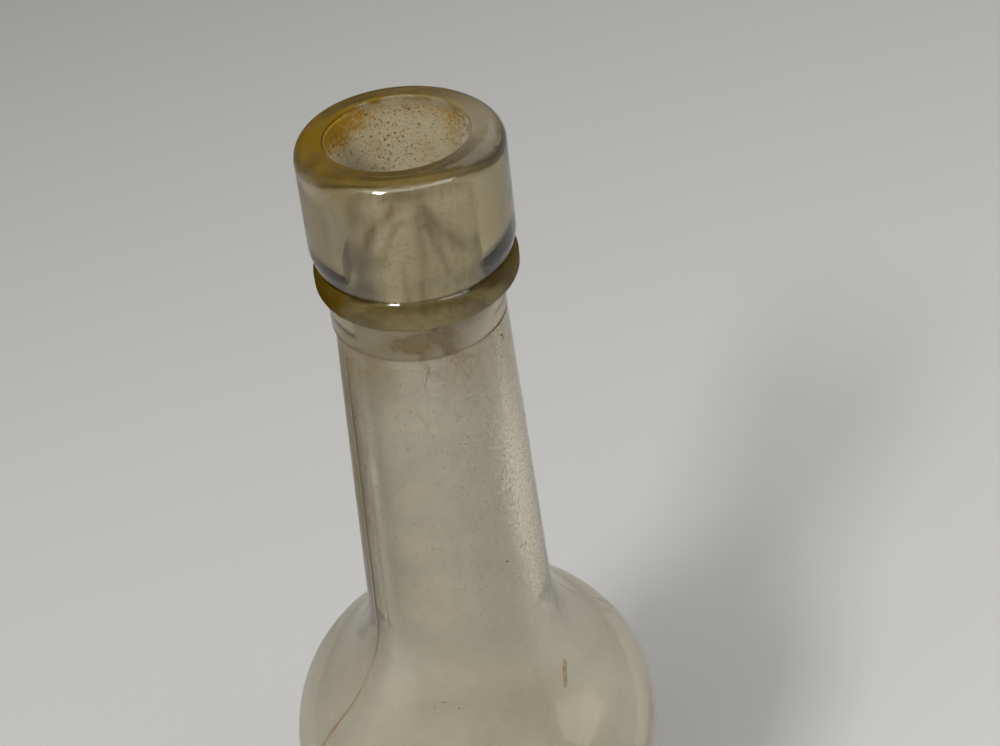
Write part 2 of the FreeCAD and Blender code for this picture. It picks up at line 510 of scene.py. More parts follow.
@dataclass(frozen=True)
class FilmFinish(Finish):
    """Dried residue of old contents and cork: a chalky film, beige, brown in the runs."""

    pale: str = "#e8e4d6"
    dull: str = "#a79c7f"
    chalk_and_highlight: str = "#fbf8ef"
    brown: str = "#89681a"
    speck: str = "#5a4a34"

    def lay_out(self, tree: bpy.types.NodeTree) -> None:
        """Chalky film whose cover, runs and specks follow the bottle's own marks, with a painted highlight in
        its chalk on the right of the neck.

        Args:
            tree: the material's empty node tree.
        """
        add = partial(add_node, tree)
        place = add("TexCoord", None, "Object")
        cover, brown, streak, chalk_and_highlight, dull = self.read_values(
            tree, "cover", "brown", "streak", "chalk_and_highlight", "dull")

        # Soft clouds about 9 mm across, and runs about 1.8 mm wide drawn out ten times down the wall
        clouds = add("TexNoise", {"Scale": 1 / (9.0 * MM), "Detail": 7.0, "Roughness": 0.65,
                                  "Vector": place}, "Fac")
        drawn = add("Mapping", {"Scale": (1.0, 1.0, 0.1), "Vector": place})
        runs = add("TexNoise", {"Scale": 1 / (1.8 * MM), "Detail": 4.0, "Roughness": 0.6,
                                "Vector": drawn}, "Fac")
        soft = add("MapRange", {"From Min": 0.32, "From Max": 0.68, "To Min": 0.76,
                                "To Max": 1.16, "Value": clouds})
        run_gap = add("MapRange", {"From Min": 0.35, "From Max": 0.62, "To Min": 1.12,
                                   "To Max": 0.78, "Value": runs})
        gaps = add("Mix", {"data_type": "FLOAT", 0: streak, 2: 1.0, 3: run_gap})
        clouded = add("Math", {"operation": "MULTIPLY", 0: cover, 1: soft})
        thick = add("Math", {"operation": "MULTIPLY", 0: clouded, 1: gaps})
        stipple = add("TexWhiteNoise", {"Vector": place}, "Value")
        alpha = add("Math", {"operation": "LESS_THAN", 0: stipple, 1: thick})

        # Brown where liquid ran and dried, with edges ragged by grains of 0.7 mm where it stood
        run_edge = add("MapRange", {"From Min": 0.38, "From Max": 0.64, "To Min": 0.55,
                                    "To Max": 1.15, "Value": runs})
        ran = add("Mix", {"data_type": "FLOAT", 0: streak, 2: 1.0, 3: run_edge})
        grain = add("TexNoise", {"Scale": 1 / (0.7 * MM), "Detail": 4.0, "Roughness": 0.7,
                                 "Vector": place}, "Fac")
        ragged = add("MapRange", {"From Min": 0.38, "From Max": 0.62, "To Min": 0.45,
                                  "To Max": 1.3, "Value": grain})
        edged = add("Mix", {"data_type": "FLOAT", 0: streak, 2: ragged, 3: 1.0})
        broken = add("Math", {"operation": "MULTIPLY", 0: brown, 1: edged})
        browned = add("Math", {"operation": "MULTIPLY", "use_clamp": True, 0: broken, 1: ran})
        grainy = add("MapRange", {"From Min": 0.35, "From Max": 0.65, "Value": grain})
        chalky = add("Math", {"operation": "MULTIPLY", "use_clamp": True, 0: chalk_and_highlight, 1: grainy})
        mottle = add("MapRange", {"From Min": 0.34, "From Max": 0.66, "To Min": 0.3,
                                  "To Max": 0.0, "Value": clouds})
        dulled = add("Math", {"operation": "MAXIMUM", 0: mottle, 1: dull})

        # Fine specks, drawn at 0.5 mm so that they show
        dots = add("TexNoise", {"Scale": 1 / (0.5 * MM), "Detail": 1.0, "Vector": place}, "Fac")
        speck = add("MapRange", {"From Min": 0.69, "From Max": 0.76, "To Max": 0.7, "Value": dots})
        colour: tuple | bpy.types.NodeSocket = linear(self.pale)
        layers = ((dulled, self.dull), (chalky, self.chalk_and_highlight), (browned, self.brown), (speck, self.speck))
        for share, tint in layers:
            colour = add("Mix", {"data_type": "RGBA", 0: share, 6: colour, 7: linear(tint)}, 2)
        surface = add("BsdfPrincipled", {"Roughness": 0.85, "Specular IOR Level": 0.2,
                                         "Base Color": colour, "Alpha": alpha})
        add("OutputMaterial", {"Surface": surface})


@dataclass(frozen=True)
class CrumbFinish(Finish):
    """Dry cork bark, dirt or a dried drip: matte, brown, lighter and darker in places."""

    light: str
    dark: str
    cover: float = 1.0

    def lay_out(self, tree: bpy.types.NodeTree) -> None:
        """Dull brown that changes over 0.8 mm, and breaks up over 0.9 mm where it covers thinly.

        Args:
            tree: the material's empty node tree.
        """
        add = partial(add_node, tree)
        place = add("TexCoord", None, "Object")
        shade = add("TexNoise", {"Scale": 1 / (0.8 * MM), "Detail": 3.0, "Vector": place}, "Fac")
        spread = add("MapRange", {"From Min": 0.35, "From Max": 0.65, "Value": shade})
        colour = add("Mix", {"data_type": "RGBA", 0: spread, 6: linear(self.dark),
                             7: linear(self.light)}, 2)
        surface = {"Roughness": 0.85, "IOR": 1.45, "Base Color": colour}
        if self.cover < 1.0:
            thin = add("TexNoise", {"Scale": 1 / (0.9 * MM), "Detail": 5.0, "Vector": place}, "Fac")
            surface["Alpha"] = add("MapRange", {"From Min": 0.36, "From Max": 0.6, "To Min": 0.25,
                                                "To Max": self.cover, "Value": thin})
        bark = add("BsdfPrincipled", surface)
        add("OutputMaterial", {"Surface": bark})


@dataclass(frozen=True)
class PaperFinish(Finish):
    """Plain paper: matte and pale."""

    colour: str

    def lay_out(self, tree: bpy.types.NodeTree) -> None:
        """One even matte colour."""
        paper = add_node(tree, "BsdfPrincipled", {"Base Color": linear(self.colour), "Roughness": 0.9})
        add_node(tree, "OutputMaterial", {"Surface": paper})


@dataclass(frozen=True)
class Sizes:
    """Sizes that the pieces share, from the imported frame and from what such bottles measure, in metres."""

    body_radius: float
    bore_radius: float
    collar_radius: float
    ring_radius: float
    lip_radius: float
    collar_z: float
    ring_z: float
    lip_z: float
    rim_z: float
    cut_end_z: float
    seat_radius: float = 11.8 * MM
    shoulder_z: float = 128.1 * MM
    shoulder_round: float = 19.0 * MM
    neck_foot_z: float = 141.4 * MM
    neck_foot_radius: float = 15.6 * MM
    neck_foot_round: float = 26.0 * MM
    neck_top_radius: float = 12.1 * MM
    wall: float = 3.0 * MM
    floor_glass: float = 5.0 * MM
    heel_round: float = 7.0 * MM
    push_up_radius: float = 19.6 * MM
    push_up_height: float = 9.0 * MM
    push_up_crown: float = 7.0 * MM
    bore_end_z: float = 212.0 * MM
    inner_swell: float = 0.42 * MM
    inner_seed: int = 8
    joint_gap: float = 0.02 * MM     # thin gap that keeps fused skins from lying in each other

    @classmethod
    def from_frame(cls) -> "Sizes":
        """Read the shared sizes off the CAD nodes and the bore's mount.

        Returns:
            The sizes.
        """
        nodes = ("blown_body", "neck_collar", "string_ring", "lip_band")
        body, collar, ring, lip = (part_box(n) for n in nodes)
        bore = next(m for m in frame["record"]["mounts"] if m["kind"] == "bore")
        return cls(body_radius=body[1].x, bore_radius=bore["dims"]["r_mm"] * MM, collar_radius=collar[1].x,
                   ring_radius=ring[1].x, lip_radius=lip[1].x, collar_z=collar[0].z, ring_z=ring[0].z,
                   lip_z=lip[0].z, rim_z=lip[1].z, cut_end_z=body[1].z)

    def free_wall(self, radius: np.ndarray, height: np.ndarray) -> np.ndarray:
        """1 where a wall is free to wave, fading to 0 at the collar, low down and on the axis."""
        free = smooth(0.0, 12.0 * MM, self.collar_z - height) * smooth(2.0 * MM, 20.0 * MM, radius)
        return free * smooth(1.0 * MM, 9.0 * MM, height)

    def inner_waves(self, angle: np.ndarray, radius: np.ndarray, height: np.ndarray) -> np.ndarray:
        """Slow waves of the body's inner wall, which the film and the crumbs on it share.

        Args:
            angle: angle round the axis.
            radius: distance from the axis.
            height: height above the foot.

        Returns:
            The rise at each point, in metres.
        """
        return self.free_wall(radius, height) * slow_waves(angle, height, self.inner_swell, self.inner_seed)


@dataclass
class Turned:
    """A piece turned about the bottle's axis, with its unevenness and its stains.

    It has columns steps round, stands to the right by lean, and has waves about as high as swell.
    """

    sizes: Sizes
    name: str
    node: str
    slot: str
    finish: Finish
    columns: int = 240
    swell: float = 0.0
    seed: int = 0
    lean: float = 0.0

    def __post_init__(self) -> None:
        """Lay out the section, and the grid that the unevenness and the stains are worked out on."""
        self.section = self.outline()
        self.turn = self.angles()[None, :]
        self.radius = self.section.radius[:, None]
        self.height = self.section.height[:, None]
        self.degrees = np.degrees(turn_between(self.turn, FRONT))
        self.level = self.height / MM

    def outline(self) -> Section:
        """The piece's section; each piece has its own."""
        raise NotImplementedError

    def angles(self) -> np.ndarray:
        """Angles of the columns: even steps once round."""
        return even_angles(self.columns)

    def relief(self) -> np.ndarray:
        """How far each point stands out from the true section: nothing, on a smooth piece."""
        return np.zeros((self.radius.size, self.turn.size))

    def sideways(self) -> np.ndarray:
        """How far each row is shifted to the right: nothing, on a true piece."""
        return np.zeros_like(self.radius)

    def stains(self) -> dict[str, np.ndarray]:
        """Stains by name on the grid of points: none, on a clean piece."""
        return {}

    def on(self, skin: Skin) -> np.ndarray:
        """1 on the rows of one skin, 0 elsewhere, as a column."""
        return (self.section.skin == skin).astype(float)[:, None]

    def waves(self) -> np.ndarray:
        """The piece's own slow waves at each point of the grid."""
        return slow_waves(self.turn, self.height, self.swell, self.seed)

    def spots(self, patches: tuple[Patch, ...], base: float = 0.0) -> np.ndarray:
        """Sum of the covers of patches whose heights count from a base."""
        return sum(patch.cover(self.degrees, self.level - base) for patch in patches)

    def build(self) -> bpy.types.Object:
        """Turn the section into a closed mesh and dress it.

        A point at row i and angle a lies at ((r_i + relief) cos a + shift_i, (r_i + relief) sin a, z_i).
        A row on the axis is one point, and its faces are a fan.

        Returns:
            The finished piece, riding on the bottle, in place of its CAD node where it has one.
        """
        reach = self.radius + self.relief()
        grid = np.stack([
            reach * np.cos(self.turn) + self.sideways(),
            reach * np.sin(self.turn),
            np.broadcast_to(self.height, reach.shape),
        ], axis=2)
        pole = self.section.radius < ON_AXIS
        kept = ~pole[:, None] | (np.arange(self.turn.size) == 0)
        faces, first_row = turned_faces(pole, self.turn.size, self.section.closed)
        piece = new_piece(self.name, grid[kept], faces)
        write_values(piece, "exposed", "FACE", self.section.skin[first_row] != Skin.FUSED)
        for stain, cover in self.stains().items():
            write_values(piece, stain, "POINT", np.broadcast_to(cover, reach.shape)[kept])
        self.finish.dress(piece, self.slot, self.node)
        return piece


@dataclass
class BlownBody(Turned):
    """Foot, side, shoulder, neck and bore: one gather blown in a two-part mould."""

    name: str = "blown_body_glass"
    node: str = "blown_body"
    slot: str = "blown_glass"
    finish: Finish = STRAW_GLASS
    columns: int = 224
    seam_columns: int = 21
    swell: float = 0.16 * MM
    seed: int = 3
    pitch: float = 2.2 * MM
    crown_round: float = 7.0 * MM
    foot_edge_round: float = 1.5 * MM
    bore_end_round: float = 30.0 * MM
    neck_drop: float = 1.5 * MM          # the inner wall turns this much below the outer one
    shoulder_drop: float = 1.2 * MM
    trough_inset: float = 3.0 * MM
    dome_inset: float = 1.5 * MM
    dome_round: float = 10.0 * MM
    seam_rise: float = 0.1 * MM
    seam_half_width: float = 0.32 * MM
    seam_reach: float = math.radians(4.0)
    dirt_half_angle: float = math.radians(1.1)

    # On the right of the neck (about 52 degrees) the scuffs and the rubbed haze are partly real wear and
    # partly a painted highlight, a pale band where the light from the right falls
    SCUFFS_AND_HIGHLIGHT = (Patch(53.0, 184.0, 14.0, 18.0, 0.5), Patch(-50.0, 186.0, 3.0, 1.5, 0.5),
              Patch(-150.0, 172.0, 22.0, 20.0, 0.4))
    RUBBED_AND_HIGHLIGHT = (Patch(52.0, 170.0, 15.0, 26.0, 0.32), Patch(-50.0, 176.0, 6.0, 32.0, 0.22),
              Patch(-42.0, 146.0, 14.0, 9.0, 0.25))
    # The tall patch down the neck's left side (-74 degrees) paints the shade of that edge in amber; the
    # patches just under the collar are amber stain
    WASHED_AND_EDGE_SHADE = (Patch(-74.0, 188.0, 20.0, 42.0, 0.58), Patch(0.0, 208.0, 70.0, 7.0, 0.08),
              Patch(64.0, 204.0, 16.0, 8.0, 0.28), Patch(-54.0, 204.5, 16.0, 6.0, 0.28),
              Patch(-31.0, 206.0, 13.0, 4.5, 0.34), Patch(20.0, 206.5, 10.0, 4.0, 0.24),
              Patch(36.0, 205.5, 14.0, 5.0, 0.18))

    def outline(self) -> Section:
        """From the push-up's top round the outside, over the cut end and down the inner wall to the axis.

        Returns:
            The open section.
        """
        s = self.sizes
        fused, inside = Skin.FUSED, Skin.INSIDE
        taper = (s.neck_foot_radius - s.neck_top_radius) / (s.collar_z - s.neck_foot_z)
        neck_inner = s.neck_foot_radius - s.wall + taper * self.neck_drop
        side_inner = s.body_radius - s.wall
        dome = s.push_up_height + s.floor_glass
        return Section.rounded([
            Corner(0.0, s.push_up_height),
            Corner(s.push_up_crown, s.push_up_height, self.crown_round),
            Corner(s.push_up_radius, 0.0, self.foot_edge_round),
            Corner(s.body_radius, 0.0, s.heel_round),
            Corner(s.body_radius, s.shoulder_z, s.shoulder_round),
            Corner(s.neck_foot_radius, s.neck_foot_z, s.neck_foot_round),
            Corner(s.neck_top_radius, s.collar_z, 0.0, fused),
            Corner(s.seat_radius, s.collar_z, 0.0, fused),
            Corner(s.seat_radius, s.cut_end_z, 0.0, fused),
            Corner(s.bore_radius, s.cut_end_z, 0.0, inside),
            Corner(s.bore_radius, s.bore_end_z, self.bore_end_round, inside),
            Corner(neck_inner, s.neck_foot_z - self.neck_drop, s.neck_foot_round + s.wall, inside),
            Corner(side_inner, s.shoulder_z - self.shoulder_drop, s.shoulder_round - s.wall, inside),
            Corner(side_inner, s.floor_glass, s.heel_round, inside),
            Corner(s.push_up_radius + self.trough_inset, s.floor_glass, s.heel_round, inside),
            Corner(s.push_up_crown + self.dome_inset, dome, self.dome_round, inside),
            Corner(0.0, dome, 0.0, inside),
        ], self.pitch, closed=False)

    def angles(self) -> np.ndarray:
        """Even steps once round, with closer ones across the two mould seams.

        Returns:
            The sorted angles.
        """
        close = np.linspace(-1.0, 1.0, self.seam_columns) * self.seam_reach
        close = np.sign(close) * close ** 2 / self.seam_reach
        every = [even_angles(self.columns), SEAM_LEFT + close, SEAM_RIGHT + close]
        return np.unique(np.round(np.concatenate(every) % FULL_TURN, 6))

    def relief(self) -> np.ndarray:
        """Slow waves on both walls, and a fine ridge up each mould seam.

        The ridge is a bell across the seam that fades out at the heel and below the collar. Waves fade to
        nothing at the seat, at the bore and on the axis.

        Returns:
            The rise of each row at each angle.
        """
        s, outer, height = self.sizes, self.on(Skin.OUTSIDE), self.height
        rise = outer * s.free_wall(self.radius, height) * self.waves()
        rise += self.on(Skin.INSIDE) * s.inner_waves(self.turn, self.radius, height)
        along = outer * smooth(2.0 * MM, 9.0 * MM, height) * smooth(1.0 * MM, 8.0 * MM, s.collar_z - height)
        for seam in (SEAM_LEFT, SEAM_RIGHT):
            across = turn_between(self.turn, seam) * self.radius / self.seam_half_width
            rise += along * self.seam_rise * np.exp(-across ** 2)
        return rise

    def stains(self) -> dict[str, np.ndarray]:
        """Haze outside, more at the body's sides seen from the front, where it is painted lightening of the
        edges, dirt along the left seam, and scuffs.

        Amber lies under the collar, and down the neck's left side as painted shade of that edge. On the right
        of the neck the haze and the scuffs are partly a painted highlight.

        Returns:
            Cover by stain name.
        """
        outer = 1.0 - self.on(Skin.INSIDE)
        seam = np.exp(-(turn_between(self.turn, SEAM_LEFT) / self.dirt_half_angle) ** 2)
        on_shoulder = smooth(124.0, 130.0, self.level) * (1.0 - smooth(136.0, 150.0, self.level))
        neck = smooth(136.0, 156.0, self.level)
        away = np.abs(self.degrees)
        # Below the neck the extra haze at the sides seen from the front is painted lightening of the glass's
        # edges; on the neck the haze is thinner on the left, which keeps that edge darker
        side = smooth(25.0, 75.0, away) * (1.0 - 0.8 * smooth(100.0, 140.0, away))
        left = smooth(-15.0, -50.0, self.degrees)
        weathered_and_lightened = (0.16 + 0.25 * side) * (1.0 - neck) + (0.24 - 0.16 * left) * neck
        weathered_and_lightened = weathered_and_lightened + self.spots(self.RUBBED_AND_HIGHLIGHT)
        return {"dirt_and_shade": outer * seam * on_shoulder * 0.7, "scuff_and_highlight": outer * self.spots(self.SCUFFS_AND_HIGHLIGHT),
                "haze_and_painted_light": outer * weathered_and_lightened, "amber_and_shade": outer * self.spots(self.WASHED_AND_EDGE_SHADE),
                "mottle": 0.3 + 0.7 * neck}


@dataclass
class NeckCollar(Turned):
    """Thin sleeve of glass under the string ring, a little off centre to the left."""

    name: str = "neck_collar_glass"
    node: str = "neck_collar"
    slot: str = "blown_glass"
    finish: Finish = COLLAR_GLASS
    lean: float = -0.2 * MM
    pitch: float = 0.6 * MM
    edge_round: float = 0.2 * MM
    seat_margin: float = 0.05 * MM

    # Where the dark line under the sleeve, painted shade in that crease, is deepest: the left and right seen
    # from the front
    STAIN_AND_SHADE_SIDES = (Patch(-75.0, 0.0, 45.0, 50.0), Patch(70.0, 0.0, 45.0, 50.0))
    SMEAR = (Patch(-4.0, 2.3, 22.0, 1.3, 0.24),)
    CLOUD = (Patch(48.0, 2.0, 18.0, 6.0, 0.4),)

    def outline(self) -> Section:
        """A thin strip up the seat, free where its lower edge stands out past the neck.

        Returns:
            The closed section.
        """
        s = self.sizes
        inner = s.seat_radius + s.joint_gap
        low, high = s.collar_z + s.joint_gap, s.ring_z - s.joint_gap
        return Section.rounded([
            Corner(inner, low, 0.0, Skin.FUSED),
            Corner(s.neck_top_radius, low),
            Corner(s.collar_radius, low, self.edge_round),
            Corner(s.collar_radius, high, 0.0, Skin.FUSED),
            Corner(inner, high, 0.0, Skin.FUSED),
        ], self.pitch)

    def sideways(self) -> np.ndarray:
        """The sleeve leans where it is free, and not on the seat."""
        return self.lean * (self.radius > self.sizes.neck_top_radius + self.seat_margin)

    def stains(self) -> dict[str, np.ndarray]:
        """A dark line in the crease under the sleeve, painted shade that is deepest at the left and right
        seen from the front, with amber in front and haze on the right.

        Returns:
            Cover by stain name.
        """
        low = self.sizes.collar_z / MM
        edge = 1.0 - smooth(0.25, 0.55, self.level - low)
        return {"dirt_and_shade": 0.75 * edge * (0.25 + self.spots(self.STAIN_AND_SHADE_SIDES, low)),
                "amber_and_shade": 0.17 + self.spots(self.SMEAR, low), "haze_and_painted_light": 0.06 + self.spots(self.CLOUD, low)}


@dataclass
class StringRing(Turned):
    """Bead of amber glass laid on under the lip band, uneven as hand-laid trails are."""

    name: str = "string_ring_glass"
    node: str = "string_ring"
    slot: str = "finish_glass"
    finish: Finish = RING_GLASS
    swell: float = 0.14 * MM
    seed: int = 21
    lean: float = 0.3 * MM
    pitch: float = 0.5 * MM
    under_round: float = 1.6 * MM
    crest_drop: float = 1.6 * MM
    crest_round: float = 2.2 * MM
    slope_drop: float = 0.4 * MM
    slope_round: float = 1.0 * MM
    top_inset: float = 0.75 * MM

    # Amber at the left and right seen from the front: partly stain, partly painted shade of the bead's edges
    STAIN_AND_SHADE_SIDES = (Patch(-84.0, 0.0, 50.0, 9.0, 1.3), Patch(90.0, 0.0, 48.0, 9.0, 0.95))

    def outline(self) -> Section:
        """A bead, round below, that slopes in under the lip band.

        Returns:
            The closed section.
        """
        s = self.sizes
        inner = s.seat_radius + s.joint_gap
        low, high = s.ring_z + s.joint_gap, s.lip_z - s.joint_gap
        return Section.rounded([
            Corner(inner, low, 0.0, Skin.FUSED),
            Corner(s.collar_radius, low),
            Corner(s.ring_radius, low, self.under_round),
            Corner(s.ring_radius, high - self.crest_drop, self.crest_round),
            Corner(s.ring_radius - self.slope_drop, high - self.slope_drop, self.slope_round),
            Corner(s.ring_radius - self.top_inset, high, 0.0, Skin.FUSED),
            Corner(inner, high, 0.0, Skin.FUSED),
        ], self.pitch)

    def outward(self) -> np.ndarray:
        """0 at the collar's face, 1 at the ring's crest."""
        return smooth(self.sizes.collar_radius, self.sizes.ring_radius, self.radius)

    def relief(self) -> np.ndarray:
        """Slow waves that grow from the seat outwards."""
        return self.outward() * self.waves()

    def sideways(self) -> np.ndarray:
        """The trail was laid thicker on the right than on the left."""
        return self.lean * self.outward()

    def stains(self) -> dict[str, np.ndarray]:
        """Amber film on the ring, deepened at the left and right seen from the front as painted shade of the
        bead's edges.
        """
        middle = (self.sizes.ring_z + self.sizes.lip_z) / 2.0 / MM
        return {"amber_and_shade": 0.04 + self.spots(self.STAIN_AND_SHADE_SIDES, middle), "haze_and_painted_light": 0.02}


@dataclass
class LipBand(Turned):
    """Tall band of glass with the rim and the bore's mouth."""

    name: str = "lip_band_glass"
    node: str = "lip_band"
    slot: str = "finish_glass"
    finish: Finish = LIP_GLASS
    swell: float = 0.12 * MM
    seed: int = 34
    lean: float = 0.25 * MM
    pitch: float = 0.7 * MM
    under_inset: float = 0.9 * MM
    slope_inset: float = 0.4 * MM
    slope_rise: float = 0.7 * MM
    slope_round: float = 1.2 * MM
    side_rise: float = 2.4 * MM
    side_round: float = 3.0 * MM
    taper: float = 0.3 * MM
    rim_round: float = 2.4 * MM
    mouth_round: float = 0.45 * MM

    # Heights from the rim: left, front, back and right of the rim, then the runs below it
    AMBER = (Patch(-95.0, 0.0, 42.0, 2.0, 0.85), Patch(-5.0, 0.0, 45.0, 0.85, 0.25),
             Patch(160.0, 0.0, 60.0, 1.3, 0.3), Patch(90.0, 0.0, 45.0, 1.3, 0.17),
             Patch(-31.0, -3.6, 5.0, 3.4, 0.25), Patch(-48.0, -2.0, 16.0, 2.2, 0.25),
             Patch(-75.0, -10.0, 24.0, 8.0, 0.3))
    SOAKED = (Patch(-100.0, 0.0, 55.0, 50.0, 0.5),)
    # The haze on the right of the rim is a painted reflection, a pale sheen on the glass; the patch on the
    # left is haze
    HAZE_AND_REFLECTION = (Patch(90.0, 0.0, 45.0, 1.3, 0.2), Patch(-62.0, -2.6, 15.0, 1.2, 0.25))

    def outline(self) -> Section:
        """A tall band on the seat, with a crown over the neck's cut end.

        Returns:
            The closed section.
        """
        s = self.sizes
        seat, low, crown = s.seat_radius + s.joint_gap, s.lip_z + s.joint_gap, s.cut_end_z + s.joint_gap
        return Section.rounded([
            Corner(seat, low, 0.0, Skin.FUSED),
            Corner(s.lip_radius - self.under_inset, low),
            Corner(s.lip_radius - self.slope_inset, low + self.slope_rise, self.slope_round),
            Corner(s.lip_radius, low + self.side_rise, self.side_round),
            Corner(s.lip_radius - self.taper, s.rim_z, self.rim_round),
            Corner(s.bore_radius, s.rim_z, self.mouth_round, Skin.INSIDE),
            Corner(s.bore_radius, crown, 0.0, Skin.FUSED),
            Corner(seat, crown, 0.0, Skin.FUSED),
        ], self.pitch)

    def relief(self) -> np.ndarray:
        """Slow waves on the band's outside, left by the lipping tool."""
        outward = smooth(self.sizes.seat_radius, self.sizes.lip_radius, self.radius)
        return outward * self.waves()

    def sideways(self) -> np.ndarray:
        """The band is thicker on the right than on the left."""
        full = self.sizes.lip_radius - self.slope_inset
        return self.lean * smooth(self.sizes.seat_radius, full, self.radius)

    def stains(self) -> dict[str, np.ndarray]:
        """Amber over the rim and in the mouth, deepest on the left, with runs below it, and a little haze,
        which on the right of the rim is a painted reflection.

        Returns:
            Cover by stain name.
        """
        rim, bore = self.sizes.rim_z / MM, self.sizes.bore_radius
        edge = 1.0 - smooth(bore + 0.3 * MM, bore + 0.6 * MM, self.radius)
        mouth = (0.3 + self.spots(self.SOAKED, rim)) * np.maximum(self.on(Skin.INSIDE), edge)
        top = smooth(-1.0, -0.2, self.level - rim)
        return {"amber_and_shade": 0.02 + 0.16 * top + self.spots(self.AMBER, rim) + mouth,
                "haze_and_painted_light": 0.02 + self.spots(self.HAZE_AND_REFLECTION, rim)}


